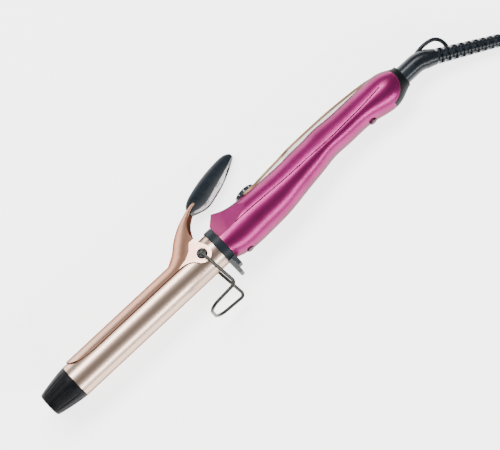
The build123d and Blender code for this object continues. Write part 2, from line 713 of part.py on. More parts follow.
# ---------------------------------------------------------------- top panel, dial and lamp
with BuildPart() as top_panel:
    add(panel_outer)
    add(panel_lower, mode=Mode.SUBTRACT)
    add(upper_form, mode=Mode.SUBTRACT)
    with BuildSketch(Plane.XY):
        with Locations((DIAL_X, 0)):
            Circle(DIAL_POCKET_RADIUS)
        with Locations((LAMP_X, 0)):
            SlotOverall(6.0, 2.6)
    extrude(amount=30, mode=Mode.SUBTRACT)
keep(top_panel, "top_panel", iron_pieces)

with BuildPart() as panel_bezel:
    add(panel_lower)
    add(upper_form, mode=Mode.SUBTRACT)
    with BuildSketch(Plane.XY):
        with Locations((DIAL_X, 0)):
            Circle(DIAL_POCKET_RADIUS + 2.0)
        with Locations((LAMP_X, 0)):
            SlotOverall(6.0, 2.6)
    extrude(amount=30, mode=Mode.SUBTRACT)
keep(panel_bezel, "panel_bezel", iron_pieces)

with BuildPart() as temperature_dial:
    with BuildSketch(Plane.XY.offset(DIAL_BOTTOM)):
        with Locations((DIAL_X, 0)):
            Circle(DIAL_RADIUS)
            with PolarLocations(DIAL_RADIUS + 0.12, DIAL_FLUTES):
                Circle(0.38, mode=Mode.SUBTRACT)
    extrude(amount=DIAL_TOP - DIAL_BOTTOM)
    # dished top with a raised pointer bar
    with BuildSketch(Plane.XY.offset(DIAL_TOP - 0.5)):
        with Locations((DIAL_X, 0)):
            Circle(DIAL_RADIUS - 1.6)
            Rectangle(2 * DIAL_RADIUS - 5.0, 2.6, mode=Mode.SUBTRACT)
    extrude(amount=0.5, mode=Mode.SUBTRACT)
    with BuildSketch(Plane.XY.offset(DIAL_BOTTOM)):
        with Locations((DIAL_X, 0)):
            Circle(DIAL_SHAFT_RADIUS)
    extrude(amount=1.8, mode=Mode.SUBTRACT)
keep(temperature_dial, "temperature_dial", iron_pieces)

with BuildPart() as dial_shaft:
    with BuildSketch(Plane.XY.offset(6.0)):
        with Locations((DIAL_X, 0)):
            Circle(DIAL_SHAFT_RADIUS - 0.01)
    extrude(amount=DIAL_BOTTOM + 1.75 - 6.0)
keep(dial_shaft, "dial_shaft", iron_pieces)

with BuildPart() as dial_switch:
    with BuildSketch(Plane.XY.offset(BOARD_TOP)):
        with Locations((DIAL_X, 0)):
            RectangleRounded(15.0, 12.5, 2.0)
    extrude(amount=5.6)
    with BuildSketch(Plane.XY.offset(5.9)):
        with Locations((DIAL_X, 0)):
            Circle(DIAL_SHAFT_RADIUS + SLIDING_GAP)
    extrude(amount=10.0, mode=Mode.SUBTRACT)
keep(dial_switch, "dial_switch", iron_pieces)

with BuildPart() as indicator_lens:
    with BuildSketch(Plane.XY.offset(12.6)):
        with Locations((LAMP_X, 0)):
            SlotOverall(5.9, 2.5)
    extrude(amount=4.7)
    fillet(indicator_lens.faces().sort_by(Axis.Z)[-1].edges(), 0.4)
keep(indicator_lens, "indicator_lens", iron_pieces)

# ---------------------------------------------------------------- electronics
with BuildPart() as circuit_board:
    with BuildSketch(Plane.XY.offset(BOARD_BOTTOM)):
        with Locations(((BOARD_FRONT + BOARD_BACK) / 2, 0)):
            RectangleRounded(BOARD_BACK - BOARD_FRONT, 2 * BOARD_HALF_WIDTH, 1.0)
        with Locations((BOARD_FRONT + 3, 0), (BOARD_BACK - 3, 0)):
            Circle(1.2, mode=Mode.SUBTRACT)
    extrude(amount=BOARD_THICKNESS)
keep(circuit_board, "circuit_board", iron_pieces)

with BuildPart() as board_components:
    with BuildSketch(Plane.XY.offset(BOARD_TOP)):
        with Locations((185.5, 3.2)):
            Rectangle(9.0, 5.0)
        with Locations((186.0, -3.6), (194.0, -3.6)):
            Circle(2.6)
        with Locations((214.5, 0)):
            Rectangle(8.0, 9.0)
    extrude(amount=4.2)
    with BuildSketch(Plane.XY.offset(BOARD_TOP)):
        with Locations((LAMP_X, 0)):
            Circle(2.0)
    extrude(amount=6.8)
keep(board_components, "board_components", iron_pieces)

WIRE_COVER_RADIUS = 0.9
with BuildPart() as heater_leads:
    for side in (-1, 1):
        with BuildLine() as lead_path:
            FilletPolyline(
                (HEATER_START + HEATER_LENGTH + 3.2, side * 3.0, 0),
                (135.0, side * 3.0, 0),
                (146.5, side * 3.0, BOARD_BOTTOM + 0.9),
                (BOARD_FRONT - 0.1, side * 3.0, BOARD_BOTTOM + 0.9),
                radius=12.0,
            )
        with BuildSketch(Plane(origin=lead_path.line @ 0, z_dir=lead_path.line % 0)):
            Circle(WIRE_COVER_RADIUS)
        sweep(path=lead_path.line)
keep(heater_leads, "heater_leads", iron_pieces)

# ---------------------------------------------------------------- handle screws and their plugs
with BuildPart() as handle_screws:
    for screw_x, head_z, point_z, _ in SCREWS:
        with BuildSketch(Plane.XY.offset(head_z)):
            with Locations((screw_x, 0)):
                Circle(SCREW_RADIUS - 0.01)
        extrude(amount=point_z - head_z)
        with BuildSketch(Plane.XY.offset(head_z - SCREW_HEAD_HEIGHT)):
            with Locations((screw_x, 0)):
                Circle(SCREW_HEAD_RADIUS)
        extrude(amount=SCREW_HEAD_HEIGHT)
        with BuildSketch(Plane.XY.offset(head_z - SCREW_HEAD_HEIGHT)):
            with Locations((screw_x, 0)):
                Rectangle(3.2, 0.8)
                Rectangle(0.8, 3.2)
        extrude(amount=1.0, mode=Mode.SUBTRACT)
keep(handle_screws, "handle_screws", iron_pieces)

with BuildPart() as screw_plugs:
    for screw_x, head_z, _, plug_z in SCREWS:
        with BuildSketch(Plane.XY.offset(plug_z)):
            with Locations((screw_x, 0)):
                Circle(PLUG_RADIUS)
        extrude(amount=head_z - SCREW_HEAD_HEIGHT - SLIDING_GAP - plug_z)
    fillet(screw_plugs.faces().filter_by(Axis.Z).group_by(Axis.Z)[0].edges(), 0.4)
    fillet(screw_plugs.faces().filter_by(Axis.Z).sort_by(Axis.Z)[2].edges(), 0.4)
keep(screw_plugs, "screw_plugs", iron_pieces)

# ---------------------------------------------------------------- rear end cap and swivel
with BuildPart() as end_cap:
    add(whole_form(0, HANDLE_FRONT))
    add(rear_trim(gap=REAR_GAP), mode=Mode.SUBTRACT)
    add(tube(289.2, 10.5, 7.8, BOOT_BORE_RADIUS))
    with BuildSketch(Plane.YZ.offset(280)):
        Circle(BOOT_BORE_RADIUS)
    extrude(amount=30, mode=Mode.SUBTRACT)
keep(end_cap, "end_cap", iron_pieces)

# Two half bushes that the shells clamp, with the groove that holds the swivel's flange.
swivel_bush = revolve_outline([
    (BUSH_FRONT, SPOOL_RADIUS + 0.05), (BUSH_FRONT, BUSH_RADIUS), (BUSH_BACK, BUSH_RADIUS),
    (BUSH_BACK, NECK_BACK_RADIUS + 0.05), (FLANGE_BACK + 0.05, NECK_BACK_RADIUS + 0.05),
    (FLANGE_BACK + 0.05, FLANGE_RADIUS + 0.1), (FLANGE_FRONT - 0.05, FLANGE_RADIUS + 0.1),
    (FLANGE_FRONT - 0.05, SPOOL_RADIUS + 0.05),
])
with BuildPart() as swivel_bushes:
    add(swivel_bush)
    with BuildSketch(Plane.XY.offset(-0.05)):
        with Locations(((BUSH_FRONT + BUSH_BACK) / 2, 0)):
            Rectangle(20, 20)
    extrude(amount=0.1, mode=Mode.SUBTRACT)
keep(swivel_bushes, "swivel_bushes", iron_pieces)

with BuildPart() as contact_block:
    with BuildSketch(Plane.XY.offset(6.0)):
        with Locations((276.5, 0)):
            Rectangle(8.0, 9.0)
    extrude(amount=2.0)
keep(contact_block, "contact_block", iron_pieces)

with BuildPart() as brush_contacts:
    for ring_x in RING_STARTS:
        with BuildSketch(Plane.YZ.offset(ring_x + 0.35)):
            with BuildLine():
                ThreePointArc((-3.8, 5.8), (0, RING_RADIUS + 0.25), (3.8, 5.8))
                offset(amount=0.15)
            make_face()
        extrude(amount=1.0)
keep(brush_contacts, "brush_contacts", iron_pieces)

with BuildPart() as supply_leads:
    for side in (-1, 1):
        with BuildLine() as lead_path:
            FilletPolyline(
                (BOARD_BACK + 0.1, side * 5.4, BOARD_BOTTOM + 0.9),
                (245.0, side * 5.6, 4.6),
                (262.0, side * 5.8, 6.6),
                (272.0, side * 3.4, 7.0),
                radius=8.0,
            )
        with BuildSketch(Plane(origin=lead_path.line @ 0, z_dir=lead_path.line % 0)):
            Circle(WIRE_COVER_RADIUS)
        sweep(path=lead_path.line)
keep(supply_leads, "supply_leads", iron_pieces)

# ---------------------------------------------------------------- swivel spool, turning with the lead
with BuildPart() as swivel_spool:
    add(revolve_outline([
        (SPOOL_FRONT, 2.0), (SPOOL_FRONT, SPOOL_RADIUS), (FLANGE_FRONT, SPOOL_RADIUS),
        (FLANGE_FRONT, FLANGE_RADIUS), (FLANGE_BACK, FLANGE_RADIUS), (FLANGE_BACK, NECK_BACK_RADIUS),
        (BOOT_FRONT - 0.05, NECK_BACK_RADIUS), (BOOT_FRONT - 0.05, SPOOL_RADIUS),
        (BOOT_FRONT + 9, SPOOL_RADIUS), (BOOT_FRONT + 9, 2.0),
    ]))
keep(swivel_spool, "swivel_spool", iron_pieces)

with BuildPart() as slip_rings:
    for ring_x in RING_STARTS:
        add(tube(ring_x, RING_WIDTH, RING_RADIUS, SPOOL_RADIUS + 0.01))
keep(slip_rings, "slip_rings", iron_pieces)

# ---------------------------------------------------------------- strain relief, in the table's frame
def lead_direction(turn, droop):
    """A direction turned from the iron's length towards the rest side, and drooping."""
    level = cos(radians(droop))
    return Vector(cos(radians(turn)) * level, -sin(radians(turn)) * level, -sin(radians(droop)))


boot_start = REST_PLANE.from_local_coords(Vector(BOOT_FRONT, 0, 0))
elbow = REST_PLANE.from_local_coords(Vector(ELBOW_X, 0, 0))
rib_direction = lead_direction(ELBOW_TURN, BOOT_DROOP)
ELBOW_RADIUS = 20.0
elbow_tangent = ELBOW_RADIUS * tan(radians(ELBOW_TURN / 2))
rib_start = elbow + rib_direction * elbow_tangent
RIB_TAPER_LENGTH = 7.0
RIB_SECTION_LENGTH = RIB_TAPER_LENGTH + RIB_PITCH * RIB_COUNT
boot_end = rib_start + rib_direction * RIB_SECTION_LENGTH
rib_plane = Plane(origin=rib_start, x_dir=Vector(0, 0, 1).cross(rib_direction), z_dir=rib_direction)
WEB_WIDTH = 2.8
SLOT_WIDTH = 1.5

with BuildPart() as cord_boot:
    with BuildLine() as boot_path:
        FilletPolyline(boot_start, elbow, rib_start + rib_direction * 0.5, radius=ELBOW_RADIUS)
    with BuildSketch(Plane(origin=boot_start, z_dir=boot_path.line % 0)):
        Circle(BOOT_RADIUS)
    sweep(path=boot_path.line)
    with BuildSketch(rib_plane.offset(0.4)):
        Circle(BOOT_RADIUS)
    with BuildSketch(rib_plane.offset(RIB_TAPER_LENGTH)):
        Circle(RIB_START_RADIUS)
    loft()
    with BuildSketch(rib_plane.offset(RIB_TAPER_LENGTH)):
        Circle(RIB_START_RADIUS)
    with BuildSketch(rib_plane.offset(RIB_SECTION_LENGTH)):
        Circle(RIB_END_RADIUS)
    loft()
    for slot in range(2 * RIB_COUNT - 1):
        across = 90 * (slot % 2)
        with BuildSketch(rib_plane.offset(RIB_TAPER_LENGTH + slot * RIB_PITCH / 2)):
            Circle(2 * BOOT_RADIUS)
            Rectangle(WEB_WIDTH, 4 * BOOT_RADIUS, rotation=across, mode=Mode.SUBTRACT)
            Circle(CORE_RADIUS, mode=Mode.SUBTRACT)
        extrude(amount=SLOT_WIDTH, mode=Mode.SUBTRACT)
    # the socket that is moulded over the swivel's stem
    with BuildSketch(Plane(origin=boot_start, z_dir=boot_path.line % 0)):
        Circle(SPOOL_RADIUS)
    extrude(amount=9.05, mode=Mode.SUBTRACT)
    # hanging loop
    with BuildLine() as loop_path:
        Spline(
            elbow + Vector(-2.0, 3.6, 0),
            elbow + Vector(13.8, 5.2, -0.6),
            elbow + Vector(19.2, 2.6, -1.0),
            elbow + Vector(21.2, -2.8, -1.2),
            elbow + Vector(19.6, -8.6, -1.2),
        )
    with BuildSketch(Plane(origin=loop_path.line @ 0, z_dir=loop_path.line % 0)):
        Circle(1.45)
    sweep(path=loop_path.line)
keep(cord_boot, "cord_boot", lead_pieces)

# ---------------------------------------------------------------- lead, coil and plug
COIL_RADII = [4.2 * CORD_DIAMETER + ring * CORD_DIAMETER for ring in range(4)]
COIL_LAYERS = 2
FULL_COIL_TURNS = 7
TIE_THICKNESS = 1.2
COIL_BASE = TIE_THICKNESS
LEAD_IN = 52.0
lead_along = lead_direction(ELBOW_TURN, 0)
lead_across = Vector(-lead_along.Y, lead_along.X, 0)
level_end = Vector(boot_end.X, boot_end.Y, 0)
coil_entry = level_end + lead_along * LEAD_IN
coil_centre = coil_entry + lead_across * COIL_RADII[-1]
entry_z = COIL_BASE + CORD_RADIUS
lead_points = [
    boot_end,
    boot_end + rib_direction * LEAD_IN / 4,
    level_end + lead_along * LEAD_IN / 2 + Vector(0, 0, entry_z),
    coil_entry + Vector(0, 0, entry_z),
]
exit_z = COIL_BASE + (COIL_LAYERS - 0.5) * CORD_DIAMETER
PLUG_HEIGHT = 13.7
TAIL_HEADING = 40.0
TAIL_RUN = 31.3
TAIL_END_RUN = 30.0
# the tail leaves the coil on its far side, then bends towards the lever side and into the plug
tail_along = lead_direction(-TAIL_HEADING, 0)
plug_along = Vector(0, 1, 0)
tail_start = coil_centre + Vector(tail_along.Y, -tail_along.X, 0) * COIL_RADII[-1]
tail_corner = tail_start + tail_along * TAIL_RUN
tail_points = [
    tail_start + Vector(0, 0, exit_z),
    tail_corner + Vector(0, 0, PLUG_HEIGHT / 2),
    tail_corner + plug_along * TAIL_END_RUN + Vector(0, 0, PLUG_HEIGHT / 2),
]


def corner_radii(points):
    """The largest arcs that the runs of a route allow."""
    radii = []
    for before, corner, after in zip(points, points[1:], points[2:]):
        turn = radians((corner - before).get_angle(after - corner))
        run = min((corner - before).length, (after - corner).length)
        radii.append(0.45 * run / tan(turn / 2))
    return radii


def cord_tube(points):
    """A round cord along straight runs joined by arcs, and its length."""
    with BuildPart() as run:
        with BuildLine() as route:
            FilletPolyline(*points, radius=corner_radii(points))
        with BuildSketch(Plane(origin=route.line @ 0, z_dir=route.line % 0)):
            Circle(CORD_RADIUS)
        sweep(path=route.line)
    length = route.wire().length
    print("arc radii", [round(radius, 1) for radius in corner_radii(points)], "length", round(length, 1))
    print("volume / (section x length)", round(run.part.volume / (pi * CORD_RADIUS**2 * length), 4))
    return run.part, length


lead_tube, lead_length = cord_tube(lead_points)
tail_tube, tail_length = cord_tube(tail_points)
with BuildPart() as cord:
    add(lead_tube)
keep(cord, "cord", lead_pieces)

with BuildPart() as cord_tail:
    add(tail_tube)
keep(cord_tail, "cord_tail", lead_pieces)

coil_turn_length = 2 * pi * sum(COIL_RADII) / len(COIL_RADII)
coil_turns = FULL_COIL_TURNS + (ELBOW_TURN + TAIL_HEADING) / 360
coil_length = coil_turns * coil_turn_length
print("cord length", round(lead_length + tail_length + coil_length, 1))

coil_inner = COIL_RADII[0] - CORD_RADIUS
coil_outer = COIL_RADII[-1] + CORD_RADIUS
coil_height = COIL_LAYERS * CORD_DIAMETER
with BuildPart() as cord_coil:
    with BuildSketch(Plane.XY.offset(COIL_BASE)):
        with Locations((coil_centre.X, coil_centre.Y)):
            Circle(coil_outer)
            Circle(coil_inner, mode=Mode.SUBTRACT)
    extrude(amount=coil_height)
    fillet(cord_coil.edges().filter_by(GeomType.CIRCLE), CORD_RADIUS - 0.5)
keep(cord_coil, "cord_coil", lead_pieces)

# a strap round the coil's section, opposite the place where the lead joins it
TIE_WIDTH = 5.0
TIE_GAP = 0.2
tie_middle = coil_centre + lead_across * (coil_inner + coil_outer) / 2
tie_plane = Plane(
    origin=(tie_middle.X, tie_middle.Y, COIL_BASE + coil_height / 2), x_dir=lead_across, z_dir=lead_along
)
tie_border = 2 * (TIE_THICKNESS - TIE_GAP)
with BuildPart() as cord_tie:
    with BuildSketch(tie_plane.offset(-TIE_WIDTH / 2)):
        inside_width = coil_outer - coil_inner + 2 * TIE_GAP
        inside_height = coil_height + 2 * TIE_GAP
        RectangleRounded(inside_width + tie_border, inside_height + tie_border, 3.0)
        RectangleRounded(inside_width, inside_height, CORD_RADIUS - 0.55, mode=Mode.SUBTRACT)
    extrude(amount=TIE_WIDTH)
keep(cord_tie, "cord_tie", lead_pieces)

# Two-pin plug: flat body that narrows to the lead, lying on its broad side.
PLUG_LENGTH = 36.0
PLUG_WIDTH = 35.3
PLUG_PIN_RADIUS = 2.0
PLUG_PIN_LENGTH = 19.0
PLUG_PIN_SPACING = 18.6
plug_back = tail_points[-1]
plug_plane = Plane(origin=plug_back, x_dir=(1, 0, 0), z_dir=plug_along)
with BuildPart() as plug_body:
    with BuildSketch(plug_plane):
        RectangleRounded(9.0, 8.6, 4.0)
    with BuildSketch(plug_plane.offset(0.35 * PLUG_LENGTH)):
        RectangleRounded(17.0, 11.0, 4.4)
    with BuildSketch(plug_plane.offset(0.7 * PLUG_LENGTH)):
        RectangleRounded(PLUG_WIDTH - 2, PLUG_HEIGHT - 0.7, 5.4)
    with BuildSketch(plug_plane.offset(PLUG_LENGTH)):
        RectangleRounded(PLUG_WIDTH, PLUG_HEIGHT, 5.6)
    loft()
keep(plug_body, "plug_body", lead_pieces)

with BuildPart() as plug_pins:
    with BuildSketch(plug_plane.offset(PLUG_LENGTH)):
        with GridLocations(PLUG_PIN_SPACING, 0, 2, 1):
            Circle(PLUG_PIN_RADIUS)
    extrude(amount=PLUG_PIN_LENGTH)
    fillet(plug_pins.faces().sort_by(Axis.Y)[-2:].edges(), 1.2)
keep(plug_pins, "plug_pins", lead_pieces)

# ---------------------------------------------------------------- lay the iron down and write each node
for piece in iron_pieces:
    laid = piece.moved(REST_PLANE.location)
    laid.label = piece.label
    export_step(laid, f"parts/{piece.label}.step")
for piece in lead_pieces:
    export_step(piece, f"parts/{piece.label}.step")
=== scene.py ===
import json
from math import cos, pi, radians, sin

import bpy
from mathutils import Matrix, Vector


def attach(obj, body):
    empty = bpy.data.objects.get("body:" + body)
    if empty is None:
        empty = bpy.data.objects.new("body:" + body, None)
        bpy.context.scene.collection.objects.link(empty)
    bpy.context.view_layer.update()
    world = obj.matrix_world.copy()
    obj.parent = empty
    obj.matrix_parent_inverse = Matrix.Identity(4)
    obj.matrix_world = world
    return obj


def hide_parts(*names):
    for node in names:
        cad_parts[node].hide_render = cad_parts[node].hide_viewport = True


# A curling iron lying on its side on a pale table, its lead wound into a coil beside it.
# The row's frame has +X from the cool tip to the handle and +Z up, and Blender works in it in metres.
# Sizes and places named below are in millimetres, unless a comment says otherwise.

MM = 0.001
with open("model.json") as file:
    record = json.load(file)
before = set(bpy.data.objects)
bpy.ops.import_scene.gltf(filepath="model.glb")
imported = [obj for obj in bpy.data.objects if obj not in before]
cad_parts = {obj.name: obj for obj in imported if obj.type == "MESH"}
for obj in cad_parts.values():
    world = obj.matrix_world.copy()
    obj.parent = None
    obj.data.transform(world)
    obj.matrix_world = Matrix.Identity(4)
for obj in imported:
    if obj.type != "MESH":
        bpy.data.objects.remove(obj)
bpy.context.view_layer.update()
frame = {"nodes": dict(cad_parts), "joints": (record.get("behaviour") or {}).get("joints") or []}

# ------------------------------------------------------------------ the iron's own frame
# X along the barrel from where the tip meets it, Z towards the thumb lever, -Y the side seen.
PIVOT_X = 120
joints = {joint["name"]: joint for joint in frame["joints"]}
iron_x = Vector(joints["lead_swivel"]["axis"])
iron_y = Vector(joints["clamp_hinge"]["axis"])
iron_z = Vector(joints["dial_turn"]["axis"])
iron_origin = Vector(joints["clamp_hinge"]["pos_m"]) - iron_x * PIVOT_X * MM
iron = Matrix.Translation(iron_origin) @ Matrix((iron_x, iron_y, iron_z)).transposed().to_4x4()


def on_iron(x, y, z):
    """A point given in millimetres in the iron's frame, in the row's frame."""
    return iron @ Vector((x * MM, y * MM, z * MM))


# ------------------------------------------------------------------ camera
# It looks at the iron's -Y side, moved a little away from the lever and a little towards the tip.
CAMERA_ROLL = radians(20.0)  # about the barrel, away from the lever
CAMERA_YAW = radians(4.0)  # towards the tip
PICTURE_TURN = radians(43.03)  # of the barrel in the picture
CAMERA_DISTANCE = 1200
VIEW_WIDTH = 339  # seen at the target
SENSOR_WIDTH = 36.0
TARGET_X = 157.4
TARGET_SHIFT = 3.3  # from the barrel's axis, away from the lever

towards_camera = (
    -sin(CAMERA_YAW) * iron_x - cos(CAMERA_YAW) * (cos(CAMERA_ROLL) * iron_y + sin(CAMERA_ROLL) * iron_z)
).normalized()
along_picture = (iron_x - towards_camera * iron_x.dot(towards_camera)).normalized()
lever_side = towards_camera.cross(along_picture)
camera_up = sin(PICTURE_TURN) * along_picture + cos(PICTURE_TURN) * lever_side
camera_right = cos(PICTURE_TURN) * along_picture - sin(PICTURE_TURN) * lever_side
target = on_iron(TARGET_X, 0, 0) - lever_side * TARGET_SHIFT * MM
camera_data = bpy.data.cameras.new("camera")
camera_data.sensor_width = SENSOR_WIDTH
camera_data.lens = SENSOR_WIDTH * CAMERA_DISTANCE / VIEW_WIDTH
camera = bpy.data.objects.new("camera", camera_data)
camera.matrix_world = Matrix.Translation(target + towards_camera * CAMERA_DISTANCE * MM) @ Matrix(
    (camera_right, camera_up, towards_camera)
).transposed().to_4x4()
bpy.context.scene.collection.objects.link(camera)
bpy.context.scene.camera = camera


# ------------------------------------------------------------------ materials
TONE_STOPS = (0.3, 0.7)  # where the noise changes from the first tone to the second
TONE_DETAIL = 6.0
WORN_POINTINESS = (0.54, 0.62)  # how sharp an edge has to be to start to wear, and to wear fully
FINE_DETAIL = 3.0
FINE_HEIGHT = 0.05


def new_material(name):
    """A material with its nodes, and its shader."""
    material = bpy.data.materials.new(name)
    material.use_nodes = True
    nodes = material.node_tree.nodes
    return material, nodes, material.node_tree.links, nodes["Principled BSDF"]


def surface(name, colour, second, roughness, grain=(300, 300, 300), bump=0.1, bump_scale=1500.0,
            worn=None, specular=0.5, **sockets):
    """A surface whose colour drifts between two tones, with uneven gloss and a fine bump.

    grain is how fast the drift changes along each axis, bump_scale how fine the bump is, and worn the
    colour of worn edges. Other sockets of the shader are given by their names.
    """
    material, nodes, links, shader = new_material(name)
    shader.inputs["Specular IOR Level"].default_value = specular
    for socket, value in sockets.items():
        shader.inputs[socket.replace("_", " ").title()].default_value = value
    place = nodes.new("ShaderNodeTexCoord")
    stretch = nodes.new("ShaderNodeMapping")
    stretch.inputs["Scale"].default_value = grain
    links.new(place.outputs["Object"], stretch.inputs["Vector"])
    drift = nodes.new("ShaderNodeTexNoise")
    drift.inputs["Scale"].default_value = 1.0
    drift.inputs["Detail"].default_value = TONE_DETAIL
    links.new(stretch.outputs["Vector"], drift.inputs["Vector"])
    tones = nodes.new("ShaderNodeValToRGB")
    for index, tone in enumerate((colour, second)):
        stop = tones.color_ramp.elements[index]
        stop.position = TONE_STOPS[index]
        stop.color = (*tone, 1)
    links.new(drift.outputs["Fac"], tones.inputs["Fac"])
    base = tones.outputs["Color"]
    if worn:
        geometry = nodes.new("ShaderNodeNewGeometry")
        edge = nodes.new("ShaderNodeMapRange")
        edge.inputs["From Min"].default_value = WORN_POINTINESS[0]
        edge.inputs["From Max"].default_value = WORN_POINTINESS[1]
        links.new(geometry.outputs["Pointiness"], edge.inputs["Value"])
        blend = nodes.new("ShaderNodeMix")
        blend.data_type = "RGBA"
        links.new(edge.outputs["Result"], blend.inputs["Factor"])
        links.new(base, blend.inputs["A"])
        blend.inputs["B"].default_value = (*worn, 1)
        base = blend.outputs["Result"]
    links.new(base, shader.inputs["Base Color"])
    uneven = nodes.new("ShaderNodeMapRange")
    uneven.inputs["To Min"].default_value = roughness[0]
    uneven.inputs["To Max"].default_value = roughness[1]
    links.new(drift.outputs["Fac"], uneven.inputs["Value"])
    links.new(uneven.outputs["Result"], shader.inputs["Roughness"])
    fine = nodes.new("ShaderNodeTexNoise")
    fine.inputs["Scale"].default_value = bump_scale
    fine.inputs["Detail"].default_value = FINE_DETAIL
    links.new(place.outputs["Object"], fine.inputs["Vector"])
    relief = nodes.new("ShaderNodeBump")
    relief.inputs["Strength"].default_value = bump
    relief.inputs["Distance"].default_value = FINE_HEIGHT * MM
    links.new(fine.outputs["Fac"], relief.inputs["Height"])
    links.new(relief.outputs["Normal"], shader.inputs["Normal"])
    return material


# what shows of the iron
champagne = surface(
    "champagne", (0.50, 0.265, 0.185), (0.43, 0.225, 0.155), (0.28, 0.36), grain=(40, 900, 900),
    bump=0.15, bump_scale=2500, worn=(0.60, 0.43, 0.34), Metallic=1.0,
    Specular_tint=(0.03, 0.02, 0.015, 1)
)
magenta = surface(
    "magenta", (0.28, 0.013, 0.130), (0.21, 0.008, 0.090), (0.33, 0.39), grain=(60, 60, 60),
    bump=0.12, bump_scale=4000, worn=(0.40, 0.05, 0.16), Metallic=0.85, Coat_weight=0.35,
    Coat_roughness=0.30, Specular_tint=(0.02, 0.002, 0.01, 1)
)
plug_red = surface(
    "plug_red", (0.055, 0.004, 0.018), (0.042, 0.003, 0.014), (0.45, 0.55), bump=0.2, specular=0.2
)
tip_black = surface(
    "tip_black", (0.003, 0.0035, 0.0045), (0.005, 0.0055, 0.007), (0.42, 0.52), bump=0.3,
    bump_scale=1800, worn=(0.02, 0.023, 0.026), specular=0.10
)
collar_black = surface(
    "collar_black", (0.004, 0.007, 0.011), (0.006, 0.010, 0.015), (0.34, 0.44), bump=0.2,
    worn=(0.02, 0.028, 0.034), specular=0.12
)
gloss_black = surface(
    "gloss_black", (0.005, 0.008, 0.012), (0.009, 0.013, 0.018), (0.30, 0.38), bump=0.03,
    worn=(0.02, 0.024, 0.03), specular=0.12
)
boot_black = surface(
    "boot_black", (0.005, 0.007, 0.010), (0.008, 0.011, 0.015), (0.22, 0.32), bump=0.15,
    bump_scale=900, worn=(0.03, 0.04, 0.05), specular=0.25
)
pad_grey = surface("pad_grey", (0.035, 0.042, 0.040), (0.025, 0.032, 0.030), (0.5, 0.6), bump=0.3)
# The lever's plate is white: a painted reflection of the bright surroundings on its metal sheet.
plate_painted_reflection = surface("plate_painted_reflection", (0.78, 0.78, 0.76), (0.70, 0.70, 0.69), (0.30, 0.38), bump=0.1)
gold = surface(
    "gold", (0.085, 0.046, 0.020), (0.070, 0.037, 0.016), (0.40, 0.48), grain=(40, 900, 900),
    bump=0.1, worn=(0.22, 0.13, 0.07), specular=0.3, Metallic=0.5
)
# The bezel is a part of its own. Its pale colour is a painted highlight along the top panel's edge.
bezel_painted_highlight = surface("bezel_painted_highlight", (0.80, 0.78, 0.76), (0.74, 0.72, 0.70), (0.18, 0.26), bump=0.05)
wire_dark = surface(
    "wire_dark", (0.030, 0.030, 0.025), (0.020, 0.020, 0.017), (0.30, 0.40), grain=(500, 500, 500),
    bump=0.1, worn=(0.06, 0.06, 0.05), specular=0.35, Metallic=0.3
)
dark_steel = surface(
    "dark_steel", (0.006, 0.007, 0.009), (0.010, 0.011, 0.013), (0.28, 0.36), bump=0.1,
    worn=(0.03, 0.032, 0.035), specular=0.12
)
lens_red = surface(
    "lens_red", (0.55, 0.03, 0.02), (0.48, 0.02, 0.015), (0.08, 0.12), bump=0.02,
    Transmission_weight=0.6
)
# what is inside it, and the plug's pins
steel = surface("steel", (0.55, 0.55, 0.56), (0.48, 0.48, 0.50), (0.25, 0.35), bump=0.1, Metallic=1.0)
inner_plastic = surface(
    "inner_plastic", (0.035, 0.035, 0.036), (0.05, 0.05, 0.052), (0.5, 0.6), bump=0.3
)
aluminium = surface(
    "aluminium", (0.72, 0.73, 0.75), (0.64, 0.65, 0.67), (0.3, 0.4), grain=(40, 600, 600),
    Metallic=1.0
)
ceramic = surface("ceramic", (0.80, 0.78, 0.72), (0.72, 0.70, 0.64), (0.5, 0.6), bump=0.2)
film = surface("film", (0.60, 0.26, 0.05), (0.54, 0.22, 0.04), (0.2, 0.3))
board_green = surface("board_green", (0.02, 0.12, 0.05), (0.03, 0.15, 0.06), (0.3, 0.4))
sleeve = surface("sleeve", (0.70, 0.67, 0.60), (0.62, 0.59, 0.53), (0.5, 0.6))
brass = surface("brass", (0.75, 0.55, 0.28), (0.68, 0.49, 0.24), (0.22, 0.32), Metallic=1.0)
nickel = surface("nickel", (0.72, 0.70, 0.66), (0.64, 0.62, 0.58), (0.2, 0.3), Metallic=1.0)

FINISHES = {
    champagne: ["barrel", "clamp"],
    tip_black: ["cool_tip", "end_cap"],
    collar_black: ["collar"],
    pad_grey: ["rest_pad"],
    gloss_black: ["lever_shell", "temperature_dial"],
    plate_painted_reflection: ["lever_plate"],
    magenta: ["handle_upper_shell", "handle_lower_shell"],
    plug_red: ["screw_plugs"],
    gold: ["top_panel"],
    bezel_painted_highlight: ["panel_bezel"],
    wire_dark: ["wire_rest"],
    steel: ["handle_screws", "return_spring"],
    dark_steel: ["pivot_screws"],
    inner_plastic: ["barrel_holder", "contact_block", "dial_switch", "dial_shaft", "swivel_bushes",
                    "swivel_spool", "tip_insulator", "board_components"],
    aluminium: ["heat_spreader_upper", "heat_spreader_lower"],
    ceramic: ["ptc_heater", "thermal_fuse"],
    film: ["insulating_film"],
    lens_red: ["indicator_lens"],
    board_green: ["circuit_board"],
    sleeve: ["heater_leads", "supply_leads"],
    brass: ["brush_contacts", "slip_rings"],
    nickel: ["plug_pins"],
    boot_black: ["cord_boot", "cord_tie", "plug_body"],
}
for material, nodes in FINISHES.items():
    for node in nodes:
        mesh = frame["nodes"][node].data
        mesh.materials.clear()
        mesh.materials.append(material)


# ------------------------------------------------------------------ rounded edges
SHELLS = ("handle_upper_shell", "handle_lower_shell")
EDGE_ANGLE = radians(35)
EDGE_STEPS = 2
MOULDED_EDGE = 0.25
MARK_EDGE = 0.04


